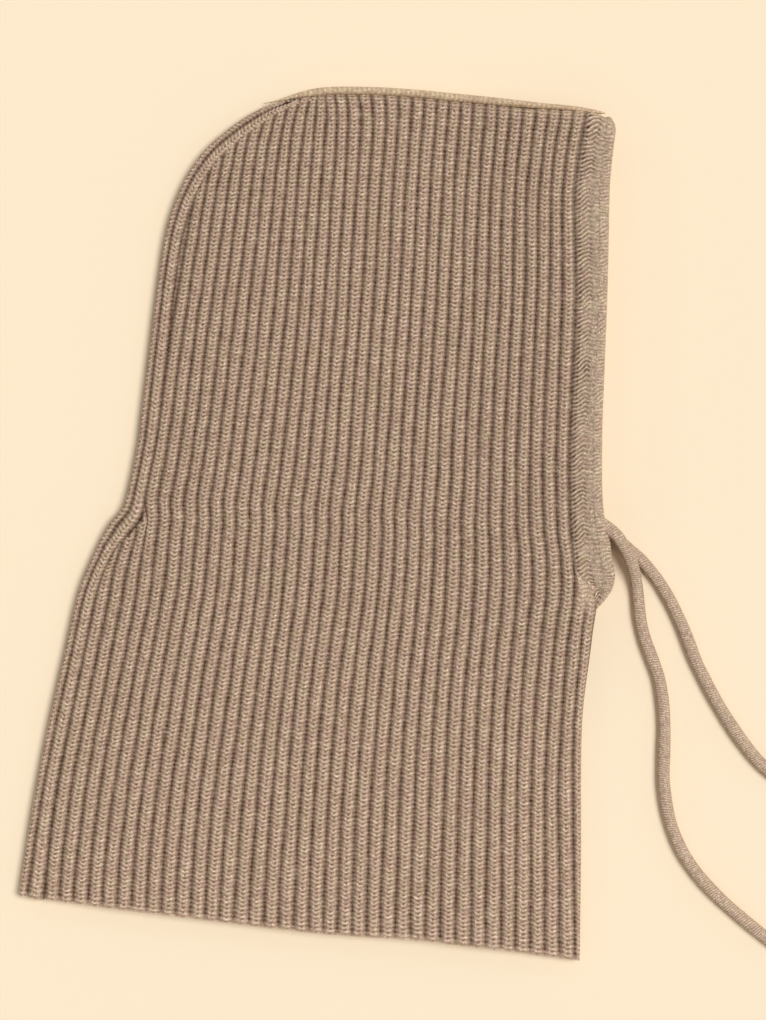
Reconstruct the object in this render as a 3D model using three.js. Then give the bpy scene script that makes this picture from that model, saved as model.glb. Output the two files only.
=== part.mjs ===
// A rib-knit snood hood with a drawcord, lying flat on its side. Millimetres, +Z up.
// +X points from the back of the head to the face, +Y from the hem to the crown. The wearer's right side
// is the upper layer and the left side the lower one. The knit rests on z = 0, and the origin is below
// the middle of its box.
import * as THREE from "three";

// Hood, laid flat
const hoodLength = 479.5; // crown top to the lowest point of the hem
const headDepth = 246; // back of the head to the face seam line
const hemWidth = 309.5; // back fold to front fold at the hem
const hemDrop = 38; // how much lower the hem is in front than behind
const crownDrop = 9; // how much lower the crown is at the face than behind
const frontX = 144.6; // place of the face seam line at the crown
const hemY = -202; // place of the hem at the back fold

// Knit
const wall = 4;
const ribDepth = 0.9;
const ribsInNeck = 36; // ribs between the back pair and the face seam line
const edgeStrip = 12; // width seen of the two ribs that run along the back fold
const crestFrom = 0.28; // where a rib's flat crest starts and ends, as shares of its width
const crestTo = 0.72;
const ribsPerInnerFacet = 3;

// Heights of the two layers together
const foldHeight = 10;
const middleHeight = 17;
const hemHeight = 14.5;
const faceHeight = 24;
const rise = 60; // distance from a fold in which the height grows to the middle's
const faceRise = 75; // distance from the face in which it grows to the face's

// Face band, a folded casing
const bandWidth = 16.5;
const bandThickness = 9.4;
const tunnelDiameter = 6.2;
const tunnelPlace = 0.72; // middle of the tunnel, as a share of the band's width
const gap = 0.3; // kept between neighbouring pieces

// Crown seam
const seamWidth = 4;
const seamHeight = 7;

// Drawcord, a knitted tube
const cordDiameter = 7;
const cordInTunnel = 4.4; // squeezed flat in the casing
const cordSides = 10;

// Sections across the hood, from the hem to the crown. up: share of the way from the hem to the crown.
// head: back edge, as a share of headDepth. flare: what it adds, as a share of hemWidth less headDepth.
// strip: width of the back pair of ribs, as a share of edgeStrip. ribs: how many ribs still run between
// that pair and the face seam line. seam and fold: that line and the front fold, as shares of headDepth.
const sections = [
  { up: 0, head: 1, flare: 1, strip: 1.25, ribs: 36, seam: -0.038, fold: 0 },
  { up: 0.12, head: 1, flare: 0.9, strip: 1.05, ribs: 36, seam: -0.04, fold: 0.005 },
  { up: 0.22, head: 1, flare: 0.735, strip: 1.05, ribs: 36, seam: -0.038, fold: 0.007 },
  { up: 0.3, head: 1, flare: 0.605, strip: 1, ribs: 36, seam: -0.027, fold: 0.009 },
  { up: 0.38, head: 1, flare: 0.48, strip: 0.95, ribs: 36, seam: -0.016, fold: 0.023 },
  { up: 0.432, head: 1, flare: 0.34, strip: 0.95, ribs: 35.2, seam: -0.013, fold: 0.038 },
  { up: 0.47, head: 1, flare: 0.2, strip: 1.55, ribs: 32.7, seam: -0.015, fold: -0.015 },
  { up: 0.5, head: 1, flare: 0.01, strip: 0.9, ribs: 32, seam: -0.018, fold: -0.018 },
  { up: 0.58, head: 0.987, flare: 0, strip: 0.95, ribs: 32, seam: -0.016, fold: -0.016 },
  { up: 0.68, head: 0.965, flare: 0, strip: 1, ribs: 32, seam: -0.011, fold: -0.011 },
  { up: 0.775, head: 0.943, flare: 0, strip: 1, ribs: 32, seam: -0.007, fold: -0.007 },
  { up: 0.84, head: 0.923, flare: 0, strip: 1.15, ribs: 31.5, seam: -0.007, fold: -0.007 },
  { up: 0.89, head: 0.891, flare: 0, strip: 1.35, ribs: 30.3, seam: -0.007, fold: -0.007 },
  { up: 0.93, head: 0.846, flare: 0, strip: 1.75, ribs: 28.2, seam: -0.006, fold: -0.006 },
  { up: 0.96, head: 0.787, flare: 0, strip: 2.25, ribs: 25.1, seam: -0.003, fold: -0.003 },
  { up: 0.983, head: 0.723, flare: 0, strip: 2.2, ribs: 23.1, seam: 0.006, fold: 0.006 },
  { up: 0.994, head: 0.667, flare: 0, strip: 1.9, ribs: 21.5, seam: 0.012, fold: 0.012 },
  { up: 1, head: 0.582, flare: 0, strip: 0.75, ribs: 20.5, seam: 0.016, fold: 0.016 },
];
const chin = sections.findIndex((section) => section.fold === section.seam) - 1;

// Half of the band's section, from the face seam line to the outer edge. across: share of bandWidth.
// half: share of half of bandThickness.
const bandProfile = [
  { across: 0, half: 0.42 },
  { across: 0.2, half: 0.76 },
  { across: 0.45, half: 0.62 },
  { across: 0.6, half: 0.92 },
  { across: 0.76, half: 1 },
  { across: 0.91, half: 0.8 },
  { across: 1, half: 0 },
];
// The band's rings along the opening, from the chin up. up: as in the sections above. width: share of
// bandWidth, more beside the cord's slit, where the casing is pulled open, and at the top corner.
const bandRings = [
  { up: 0.44, width: 0.68 },
  { up: 0.455, width: 1.08 },
  { up: 0.47, width: 1.34 },
  { up: 0.49, width: 1.3 },
  { up: 0.53, width: 1.12 },
  { up: 0.545, width: 1.06 },
  { up: 0.62, width: 1 },
  { up: 0.7, width: 1.02 },
  { up: 0.78, width: 1.06 },
  { up: 0.84, width: 1.12 },
  { up: 0.89, width: 1.17 },
];
const topWidth = 0.97;
const slitFrom = 0.49; // the cord leaves the tunnel between these two rings
const slitTo = 0.53;
const turnRings = 6;

// Route of each free cord's middle, chosen by hand
const rightCordRoute = [
  [163.9, -3.9, 19], [167.3, -7.9, 17.6], [170.8, -13.6, 14.6], [173.7, -19.6, 11], [176, -26, 7.4],
  [177.4, -32.4, 4.8], [178.3, -39.4, 3.7], [179.6, -51.7, 3.6], [182.2, -62.7, 3.6], [186.2, -73.7, 3.6],
  [190, -84.7, 3.6], [192.2, -98, 3.6], [193, -112, 3.6], [192.7, -126, 3.6], [192.5, -139.7, 3.6],
  [193.6, -150.7, 3.6], [195.7, -161.7, 3.6], [199.4, -172.7, 3.6], [204.9, -183.7, 3.6],
  [212.9, -194.7, 3.6], [223.4, -205.9, 3.6], [235.8, -216.9, 3.6], [248, -226.8, 3.6], [261.5, -237, 3.6],
];
const leftCordRoute = [
  [163.9, -3.9, 4.6], [168.2, -8.4, 3.9], [173.6, -13.4, 3.6], [179.8, -18.8, 3.6], [186, -25.8, 3.6],
  [190.8, -32.4, 3.6], [195.6, -40.4, 3.6], [200.2, -49.6, 3.6], [204.8, -60.2, 3.6], [209.9, -73.7, 3.6],
  [215.2, -84.7, 3.6], [221, -95.7, 3.6], [227.6, -106.7, 3.6], [235, -117.7, 3.6], [243.6, -128.7, 3.6],
  [252, -136.7, 3.6], [261.5, -144, 3.6],
];

const materials = {
  knit: new THREE.MeshStandardMaterial({ color: 0xa08872, roughness: 0.95, metalness: 0 }),
  band: new THREE.MeshStandardMaterial({ color: 0xb39b84, roughness: 0.95, metalness: 0 }),
  seam: new THREE.MeshStandardMaterial({ color: 0xab937c, roughness: 0.95, metalness: 0 }),
  cord: new THREE.MeshStandardMaterial({ color: 0xc0a890, roughness: 0.95, metalness: 0 }),
};

const lerp = THREE.MathUtils.lerp;
const smooth = THREE.MathUtils.smoothstep;

// Heights of the hem and of the crown line above the plan's X axis, at a place across the hood
const hemLine = (x) => hemY - (hemDrop * (x - frontX + hemWidth)) / hemWidth;
const crownY = hemLine(frontX) + hoodLength - seamWidth;
const crownLine = (x) => crownY - crownDrop * smooth(x, frontX - headDepth / 2, frontX);
const heightOf = (up, x) => lerp(hemLine(x), crownLine(x), up);

// A section between two rows of the table
function sectionAt(up) {
  const next = Math.max(1, sections.findIndex((section) => section.up >= up));
  const [below, above] = [sections[next - 1], sections[next]];
  const share = (up - below.up) / (above.up - below.up);
  return Object.fromEntries(Object.keys(below).map((key) => [key, lerp(below[key], above[key], share)]));
}

const backOf = (section) => frontX - headDepth * section.head - (hemWidth - headDepth) * section.flare;
const seamOf = (section) => frontX + headDepth * section.seam;
const foldOf = (section) => frontX + headDepth * section.fold;

// Height of both layers together: low at a fold, more in the middle, most along the face
function loftOf(x, up, fromFold) {
  const middle = lerp(hemHeight, middleHeight, smooth(up, 0, 0.15));
  const body = lerp(foldHeight, middle, smooth(fromFold, 0, rise));
  const nearFace = smooth(x, frontX - faceRise, frontX) * smooth(up, 0.22, 0.42);
  return lerp(body, faceHeight, nearFace);
}

// A point of one layer. inset is 0 on the outside and the wall inside. sunk is the depth below a rib's crest.
function layerPoint(section, x, layer, inset, sunk) {
  const crown = crownLine(x);
  const y = Math.min(heightOf(section.up, x), crown - inset);
  const folds = [x - backOf(section), crown - y];
  if (sections[chin].up >= section.up) folds.push(foldOf(section) - x);
  const fromFold = Math.min(...folds);
  const loft = loftOf(x, section.up, fromFold);
  const radius = loft / 2 - inset;
  const round = Math.min(Math.max(fromFold - inset, 0) / radius, 1);
  const half = radius * Math.sqrt(1 - (1 - round) ** 2) - sunk * round;
  return [x, y, loft / 2 + layer * half];
}

// Lines along the ribs, from the back fold to the front fold. lane: ribs away from the face seam line,
// or share of the back pair's width for the lines of that pair.
function ribLines() {
  const lines = [{ pair: 0, crest: true, inner: true }];
  for (const rib of [0, 1]) {
    lines.push({ pair: (rib + crestFrom) / 2, crest: true }, { pair: (rib + crestTo) / 2, crest: true });
    if (rib === 0) lines.push({ pair: 0.5, crest: false });
  }
  for (let rib = ribsInNeck; rib >= 0; rib -= 1) {
    lines.push({ lane: rib, crest: false, inner: rib % ribsPerInnerFacet === 0 });
    lines.push({ lane: rib - crestFrom, crest: true }, { lane: rib - crestTo, crest: true });
  }
  lines.push({ front: true, crest: false, inner: true });
  return lines;
}

function lineX(line, section, inset) {
  const back = backOf(section);
  const pairEnd = back + edgeStrip * section.strip;
  const pitch = (seamOf(section) - pairEnd) / section.ribs;
  const front = foldOf(section) - (sections[chin].up >= section.up ? inset : 0);
  if (line.front) return front;
  if (line.lane === undefined) return lerp(back + inset, pairEnd, line.pair);
  return THREE.MathUtils.clamp(seamOf(section) - line.lane * pitch, pairEnd, front);
}

// Where a rib has run out at the pair's edge or at the face, its line lies in the groove there
function sunkOf(line, section, x) {
  const atEdge = line.lane > section.ribs || (line.lane < 0 && x >= foldOf(section) - gap);
  return line.crest && !atEdge ? 0 : ribDepth;
}

// Collects triangles, and leaves out those that have no area because two corners coincide
class Facets {
  constructor() {
    this.corners = [];
  }

  triangle(a, b, c) {
    const same = (p, q) => Math.hypot(p[0] - q[0], p[1] - q[1], p[2] - q[2]) < 1e-3;
    if (!same(a, b) && !same(b, c) && !same(c, a)) this.corners.push(...a, ...b, ...c);
  }

  quad(a, b, c, d) {
    this.triangle(a, b, c);
    this.triangle(a, c, d);
  }

  geometry() {
    const geometry = new THREE.BufferGeometry();
    geometry.setAttribute("position", new THREE.Float32BufferAttribute(this.corners, 3));
    geometry.computeVertexNormals();
    return geometry;
  }
}

// The knit: two ribbed layers joined along the back fold, the crown and the front of the neck, and open
// at the hem and at the face
function knitGeometry() {
  const facets = new Facets();
  const lines = ribLines();
  const innerLines = lines.filter((line) => line.inner);
  for (const layer of [1, -1]) {
    const face = (a, b, c, d) => (layer > 0 ? facets.quad(a, b, c, d) : facets.quad(d, c, b, a));
    const outside = sections.map((section) => lines.map((line) => {
      const x = lineX(line, section, 0);
      return layerPoint(section, x, layer, 0, sunkOf(line, section, x));
    }));
    const inside = sections.map((row) => {
      // The hollow ends a wall below the crown, so the rows above that fall on its last one
      const section = (1 - row.up) * hoodLength < wall ? sections[sections.length - 1] : row;
      return innerLines.map((line) => layerPoint(section, lineX(line, section, wall), layer, wall, 0));
    });
    const last = lines.length - 1;
    const lastInner = innerLines.length - 1;
    for (let row = 0; row < sections.length - 1; row += 1) {
      for (let i = 0; i < last; i += 1) {
        face(outside[row][i], outside[row][i + 1], outside[row + 1][i + 1], outside[row + 1][i]);
      }
      for (let i = 0; i < lastInner; i += 1) {
        face(inside[row + 1][i], inside[row + 1][i + 1], inside[row][i + 1], inside[row][i]);
      }
      if (row >= chin) {
        face(outside[row][last], inside[row][lastInner], inside[row + 1][lastInner], outside[row + 1][last]);
      }
    }
    // Hem: the ribbed outer edge is joined to the smooth inner one, each outer point to the inner point
    // before it until the middle of the facet, and to the next one after
    for (let i = 0; i < lastInner; i += 1) {
      const from = lines.indexOf(innerLines[i]);
      const to = lines.indexOf(innerLines[i + 1]);
      const middle = Math.round((from + to) / 2);
      for (let k = from; k < to; k += 1) {
        const inner = inside[0][k < middle ? i : i + 1];
        face(inner, inner, outside[0][k + 1], outside[0][k]);
      }
      face(inside[0][i], inside[0][i + 1], outside[0][middle], outside[0][middle]);
    }
  }
  return facets.geometry();
}

// Middle of the band at a place along the opening, for the upper layer or the lower one
function bandPlace(up, layer) {
  const section = sectionAt(up);
  const x = Math.max(foldOf(section), seamOf(section));
  const loft = loftOf(x, up, rise);
  const open = smooth(up, sections[chin].up, sections[chin + 2].up);
  const clear = bandThickness / 2 + gap;
  return { x, y: heightOf(up, x), z: loft / 2 + layer * lerp(clear, loft / 2 - bandThickness / 2, open) };
}

// Rings of the band from the right side's chin over the top of the face to the left side's. Each has its
// middle, the share of its width that is left near the chin, and the turn of its thickness about X.
function bandFrames() {
  const straight = (layer) => bandRings.map((ring) => (
    { ...bandPlace(ring.up, layer), ...ring, turn: layer > 0 ? 0 : Math.PI }
  ));
  const radius = (faceHeight - bandThickness) / 2;
  const centreY = crownLine(frontX) - faceHeight / 2;
  const turn = Array.from({ length: turnRings + 1 }, (_, i) => {
    const angle = (Math.PI * i) / turnRings;
    return {
      x: foldOf(sections[sections.length - 1]),
      y: centreY + radius * Math.sin(angle),
      z: faceHeight / 2 + radius * Math.cos(angle),
      up: 1,
      width: topWidth,
      turn: angle,
    };
  });
  return [...straight(1), ...turn, ...straight(-1).reverse()];
}

// A point of a ring: across is measured from the face seam line, out along the ring's thickness
function bandPoint(frame, across, out) {
  return [
    frame.x + gap + across,
    frame.y + out * Math.sin(frame.turn),
    frame.z + out * Math.cos(frame.turn),
  ];
}

function bandGeometry() {
  const facets = new Facets();
  const lowerHalf = bandProfile.map((p) => [p.across * bandWidth, (-p.half * bandThickness) / 2]);
  const upperHalf = lowerHalf.slice(0, -1).reverse().map(([across, out]) => [across, -out]);
  const outline = [...lowerHalf, ...upperHalf];
  const edge = lowerHalf.length - 1;
  const centre = tunnelPlace * bandWidth;
  const tunnel = outline.map(([across, out]) => {
    const reach = tunnelDiameter / 2 / Math.hypot(across - centre, out);
    return [centre + (across - centre) * reach, out * reach];
  });
  const frames = bandFrames();
  const rings = frames.map((frame) => outline.map(([a, o]) => bandPoint(frame, a * frame.width, o)));
  const hollow = frames.map((frame) => tunnel.map(([a, o]) => bandPoint(frame, a * frame.width, o)));
  const count = outline.length;
  const inSlit = (frame) => frame.up >= slitFrom && frame.up <= slitTo;
  for (let row = 0; row < frames.length - 1; row += 1) {
    const slit = inSlit(frames[row]) && inSlit(frames[row + 1]);
    for (let k = 0; k < count; k += 1) {
      const next = (k + 1) % count;
      const open = slit && (k === edge || next === edge);
      if (!open) facets.quad(rings[row][k], rings[row + 1][k], rings[row + 1][next], rings[row][next]);
      if (row > 0 && row < frames.length - 2 && !open) {
        facets.quad(hollow[row][k], hollow[row][next], hollow[row + 1][next], hollow[row + 1][k]);
      }
    }
    if (slit) slitWalls(facets, rings, hollow, row, edge);
  }
  endCap(facets, rings[0], false);
  endCap(facets, rings[frames.length - 1], true);
  endCap(facets, hollow[1], true);
  endCap(facets, hollow[frames.length - 2], false);
  return facets.geometry();
}

// The four sides of the slit, between the band's outside and its tunnel
function slitWalls(facets, rings, hollow, row, edge) {
  const [from, to] = [edge - 1, edge + 1];
  facets.quad(rings[row + 1][from], hollow[row + 1][from], hollow[row][from], rings[row][from]);
  facets.quad(rings[row][to], hollow[row][to], hollow[row + 1][to], rings[row + 1][to]);
  for (const k of [from, edge]) {
    facets.quad(rings[row][k], hollow[row][k], hollow[row][k + 1], rings[row][k + 1]);
    facets.quad(rings[row + 1][k + 1], hollow[row + 1][k + 1], hollow[row + 1][k], rings[row + 1][k]);
  }
}

function endCap(facets, ring, facesOn) {
  for (let k = 1; k < ring.length - 1; k += 1) {
    if (facesOn) facets.triangle(ring[0], ring[k + 1], ring[k]);
    else facets.triangle(ring[0], ring[k], ring[k + 1]);
  }
}

// A tube along a route, round or oval
function tubeGeometry(route, width, height, steps, sides) {
  const curve = new THREE.CatmullRomCurve3(route.map((point) => new THREE.Vector3(...point)));
  const outline = Array.from({ length: sides }, (_, i) => {
    const angle = (2 * Math.PI * i) / sides;
    return new THREE.Vector2((height / 2) * Math.cos(angle), (width / 2) * Math.sin(angle));
  });
  return new THREE.ExtrudeGeometry(new THREE.Shape(outline), { extrudePath: curve, steps, bevelEnabled: false });
}

// The linked seam along the crown, from where the back pair ends to the face
function seamGeometry() {
  const last = sections[sections.length - 1];
  const from = backOf(last) + gap;
  const route = Array.from({ length: 9 }, (_, i) => {
    const x = lerp(from, seamOf(last) - gap, i / 8);
    const loft = loftOf(x, 1, 0);
    return [x, crownLine(x) + seamWidth / 2 + gap, loft / 2];
  });
  return tubeGeometry(route, seamWidth, seamHeight, 24, 8);
}

// The drawcord inside the casing, with both ends turned out through the slits
function cordInBandGeometry() {
  const place = (frame) => bandPoint(frame, tunnelPlace * bandWidth * frame.width, 0);
  const inside = bandFrames().filter((frame) => frame.up >= slitTo).map(place);
  const exit = (route) => {
    const [end, next] = route.slice(0, 2).map((point) => new THREE.Vector3(...point));
    const back = end.clone().sub(next).normalize();
    return [gap, gap + cordInTunnel / 2].map((reach) => end.clone().addScaledVector(back, reach).toArray());
  };
  const route = [...exit(rightCordRoute), ...inside, ...exit(leftCordRoute).reverse()];
  return tubeGeometry(route, cordInTunnel, cordInTunnel, 60, 8);
}

function cordGeometry(route) {
  return tubeGeometry(route, cordDiameter, cordDiameter, 28, cordSides);
}

function piece(name, geometry, material) {
  const mesh = new THREE.Mesh(geometry, material);
  mesh.name = name;
  return mesh;
}

const hood = new THREE.Group();
hood.add(
  piece("knit_body", knitGeometry(), materials.knit),
  piece("face_band", bandGeometry(), materials.band),
  piece("crown_seam", seamGeometry(), materials.seam),
  piece("drawcord_in_casing", cordInBandGeometry(), materials.cord),
  piece("drawcord_right", cordGeometry(rightCordRoute), materials.cord),
  piece("drawcord_left", cordGeometry(leftCordRoute), materials.cord),
);

export default hood;
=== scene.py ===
from math import pi

import bpy
import numpy as np
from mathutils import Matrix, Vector


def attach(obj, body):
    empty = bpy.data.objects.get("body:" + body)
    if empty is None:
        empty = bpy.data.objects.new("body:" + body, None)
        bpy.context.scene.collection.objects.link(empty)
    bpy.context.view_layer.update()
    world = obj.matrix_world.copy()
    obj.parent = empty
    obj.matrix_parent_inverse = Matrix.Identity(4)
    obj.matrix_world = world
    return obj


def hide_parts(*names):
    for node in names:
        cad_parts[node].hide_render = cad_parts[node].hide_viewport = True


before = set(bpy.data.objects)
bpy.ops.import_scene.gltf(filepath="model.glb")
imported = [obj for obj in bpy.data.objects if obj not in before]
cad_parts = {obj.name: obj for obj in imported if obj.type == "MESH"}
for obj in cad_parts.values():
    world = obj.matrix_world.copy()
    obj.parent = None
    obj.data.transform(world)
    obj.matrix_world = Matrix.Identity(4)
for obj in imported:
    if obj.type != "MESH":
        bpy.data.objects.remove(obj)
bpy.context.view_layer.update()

MM = 0.001
PIXEL = 0.55 * MM  # what one pixel of the photograph shows

# Hood, laid flat
HOOD_LENGTH = 479.5 * MM
HEAD_DEPTH = 246 * MM
HEM_WIDTH = 309.5 * MM
HEM_DROP = 38 * MM
CROWN_DROP = 9 * MM
CROWN_RAISE = 1.8 * MM  # of the knit over the solid's crown
CROWN_CORNER = 0.6 * MM  # how much lower it ends at the face
HEM_SAG = 2.2 * MM  # of the back half of the hem, below its straight line
HEM_TIGHT = 1 * MM  # the front half's rise above it
FRONT_X = 144.6 * MM
HEM_Y = -202 * MM

# Heights of the two layers together
FOLD_HEIGHT = 10 * MM
MIDDLE_HEIGHT = 17 * MM
HEM_HEIGHT = 14.5 * MM
FACE_HEIGHT = 24 * MM
RISE = 60 * MM  # from the fold to where the middle's height is reached
FACE_RISE = 75 * MM  # the same towards the face

# Knit
WALL = 4 * MM
STITCH = 2.42 * MM  # height of one stitch
RIBS_IN_NECK = 36
EDGE_STRIP = 12 * MM  # width of the centre-back pair on one layer, where its share is 1
UNDER_PAIR = 2.5 * MM  # how far the side ribs run on under the centre-back pair
GROOVE_DEPTH = 2.1 * MM
ARM_DEPTH = 0.55 * MM  # between the arms of one stitch and of the next
HOLE_DEPTH = 0.6 * MM  # at the foot of each stitch's V
V_RISE = 0.55  # how much higher a stitch's arms end than they meet, in stitches

# Face band
BAND_WIDTH = 16.5 * MM
BAND_THICKNESS = 9.4 * MM
TUNNEL_PLACE = 0.76  # of the drawcord's bulge, as a share of the band's width
BAND_LAP = 1.2 * MM  # how far the band's inner edge lies under the ribbed side's
TIP_LAP = 4.9 * MM  # how far the band's tip reaches back over the front fold
TIP_SOFT = 3 * MM  # how softly its inner edge goes over from the seam line to that lap
TIP_ROUND = 9 * MM  # length of the tip's round end
TIP_PROUD = 1.2 * MM  # how far the tip stands out from the fold
TOP_REACH = 45 * MM  # over this height below the crown the band leans towards its top corner
TOP_HALF = 0.8  # share of its half thickness that it keeps there at most
TOP_RAISE = 2.4 * MM  # how far it is raised there
TOP_SLANT = 0.42  # and its fall towards its outer edge

# Crown seam
SEAM_WIDTH = 4 * MM  # how much of the hood's length it takes up
SEAM_START = 30 * MM  # how far it reaches back over the end of the centre-back pair
SEAM_TAPER = 34 * MM  # over this length it gets its full size
SEAM_FADE = 12 * MM  # and over this one it closes at the corner
SEAM_TIP = 2 * MM  # length of its round start
SEAM_END = 5.5 * MM  # how far before the band's corner it ends
SEAM_OUT = 3.1 * MM  # its middle, above the crown line
SEAM_RISE = 2.3 * MM  # half its size in plan
SEAM_HALF = 3.4 * MM  # half its height
SEAM_LINK = 2.7 * MM  # length of one link

# Drawcord
CORD_DIAMETER = 7 * MM
CORD_IN_TUNNEL = 4.4 * MM
HIDDEN_FROM = 8 * MM  # height on the table above which it lies in its tunnel
CORD_WALES = 8  # round the cord
CORD_RIB = 1.3 * MM  # distance between the fine ribs across the cord
CORD_SLANT = 0.9  # how far they lean round it, in ribs
CORD_SWELL = 0.15 * MM  # of the ridges over half of the diameter
CORD_RELIEF = 0.3 * MM  # from a rib's ridge to the valley
CORD_FURROW = 0.25 * MM  # depth between the wales
CORD_UNEVEN = 0.12 * MM

# Rows of the hood, from the hem to the crown, the solid's with a closer fit: up is the share of the height,
# head and flare set the back fold, strip is the width of the centre-back pair, ribs is the number of the
# other ribs, and seam and fold set the front edge
SECTIONS = {
    "up": [0, .12, .22, .3, .38, .432, .47, .5, .58, .68, .775, .84, .89, .93, .96, .983, .994, 1],
    "head": [1, 1, 1, 1, 1, 1, 1, 1, .987, .965, .943, .923, .891, .846, .787, .723, .667, .582],
    "flare": [1, .865, .73, .605, .48, .34, .21, .07, 0, 0, 0, 0, 0, 0, 0, 0, 0, 0],
    "strip": [1.25, 1.05, 1.05, 1, .95, .95, 1.5, .95, .95, .93, .88, .93, 1.02, 1.25, 1.55, 1.5, 1.3, .6],
    "ribs": [35.26, 35.28, 35.36, 35.45, 35.47, 34.9, 32.7, 32, 32, 32.1, 32.2, 31.9, 30.9, 29.1, 26.4,
             24.4, 22.6, 20.8],
    "seam": [-.038, -.04, -.041, -.035, -.023, -.011, -.014, -.019, -.023, -.016, -.009, -.01, -.0115,
             -.005, .0035, .013, .017, .019],
    "fold": [.006, .009, .009, .014, .039, .049, -.014, -.019, -.023, -.016, -.009, -.01, -.0115,
             -.005, .0035, .013, .017, .019],
}
CHIN = 0.432  # up to here the front is a fold
CHIN_OPEN = 0.47  # from here on it is open
BAND_OPEN = 0.5  # from here on the band's two layers lie apart

# Outer edge of the face band, from its tip below the chin to the crown: reach is its distance in front of
# FRONT_X in band widths
BAND_EDGE = {
    "up": [.405, .413, .424, .438, .451, .461, .477, .494, .51, .545, .62, .7, .78, .84, .905, .931, .952,
           .968, .984, 1],
    "reach": [.17, .47, .8, 1.1, 1.216, 1.203, 1.11, 1.045, .936, .803, .79, .87, .956, 1, 1.035, 1.08, 1.12,
              1.17, 1.22, 1.25],
}
# Half of the band's thickness across its width, both as shares
BAND_HALF = {
    "across": [0, .1, .2, .33, .45, .6, .76],
    "half": [.6, .72, .8, .8, .78, .92, 1],
}

# Routes of the cords' middles, in millimetres, the points of the solids
RIGHT_CORD = [
    [163.9, -3.9, 19], [167.3, -7.9, 17.6], [170.8, -13.6, 14.6], [173.7, -19.6, 11], [176, -26, 7.4],
    [177.4, -32.4, 4.8], [178.3, -39.4, 3.7], [179.6, -51.7, 3.6], [182.2, -62.7, 3.6], [186.2, -73.7, 3.6],
    [190, -84.7, 3.6], [192.2, -98, 3.6], [193, -112, 3.6], [192.7, -126, 3.6], [192.5, -139.7, 3.6],
    [193.6, -150.7, 3.6], [195.7, -161.7, 3.6], [199.4, -172.7, 3.6], [204.9, -183.7, 3.6],
    [212.9, -194.7, 3.6], [223.4, -205.9, 3.6], [235.8, -216.9, 3.6], [248, -226.8, 3.6], [261.5, -237, 3.6],
]
LEFT_CORD = [
    [163.9, -3.9, 4.6], [168.2, -8.4, 3.9], [173.6, -13.4, 3.6], [179.8, -18.8, 3.6], [186, -25.8, 3.6],
    [190.8, -32.4, 3.6], [195.6, -40.4, 3.6], [200.2, -49.6, 3.6], [204.8, -60.2, 3.6], [209.9, -73.7, 3.6],
    [215.2, -84.7, 3.6], [221, -95.7, 3.6], [227.6, -106.7, 3.6], [235, -117.7, 3.6], [243.6, -128.7, 3.6],
    [252, -136.7, 3.6], [261.5, -144, 3.6],
]

# Where each cord comes from inside the casing, in millimetres
RIGHT_INSIDE = [155.2, 2.8, 19.2]
LEFT_INSIDE = [155.2, 2.8, 4.7]

# Camera, straight above, then floor and light
LENS = 100
SENSOR = 36
VIEW_HEIGHT = 1020 * PIXEL  # what the frame's long side shows
VIEW_CENTRE = (37.4 * MM, 8.7 * MM)  # the table's point in its middle
VIEW_PLANE = 12 * MM  # the height at which it shows that much
FLOOR_COLOURS = (252, 233, 203), (253, 234, 204)
FLOOR_HALF = 4.0  # half of its side, in metres
SUN_STRENGTH = 2.2
SUN_ANGLE = 0.5
SUN_FROM = (0.4, 0.1, 1.0)
ROOM_STRENGTH = 0.36

# Colours of the wool and of the painted shade in its grooves, and the sizes of its patterns as noise scales
YARN_TINTS = [(190, 156, 138), (214, 198, 166), (196, 170, 150), (255, 232, 206), (206, 184, 156)]
PINKISH = (206, 168, 152)
STRAW = (210, 190, 150)
PATCH_TINT = (196, 164, 145)
PAINTED_GROOVE_SHADE = (60, 27, 5)
SHEEN_TINT = (255, 234, 204)
PALER_DOWN = 0.4  # gain in brightness for each metre nearer to the hem, from the middle on
FIBRES = 1500
STRANDS = 560
# noise scale of how unevenly the painted groove shade falls
SHADE_PATCHES = 260
HUES = 150
PATCHES = 45
BUMP_HEIGHT = 0.6 * MM


def linear(red, green, blue):
    """A colour of 0 to 255 as Blender's linear one."""
    share = np.array([red, green, blue]) / 255
    return (*np.where(share <= 0.04045, share / 12.92, ((share + 0.055) / 1.055) ** 2.4), 1.0)


def smooth(x, low, high):
    """0 below low, 1 above high, and a cubic in between."""
    t = np.clip((x - low) / (high - low), 0, 1)
    return t * t * (3 - 2 * t)


def lerp(a, b, t):
    """a where t is 0, b where it is 1, and a straight line through both."""
    return a + (b - a) * t


def bell(x, width):
    """1 at 0, and falling off on both sides with the square of x over the width, as an exponential."""
    return np.exp(-((x / width) ** 2))


def quarter_circle(t):
    """0 up to t = 0, 1 from t = 1 on, and a quarter circle in between, steep at 0."""
    return np.sqrt(np.clip(1 - (1 - np.minimum(t, 1)) ** 2, 0, 1))


def valley_of(phase):
    """0 on the ridges at whole phases, 1 in the valleys halfway between them, a cosine in between."""
    return 0.5 - 0.5 * np.cos(2 * pi * phase)


def run_of(points):
    """Length of a path of points from its start to each of them."""
    return np.concatenate([[0], np.cumsum(np.linalg.norm(np.diff(points, axis=0), axis=1))])


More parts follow.
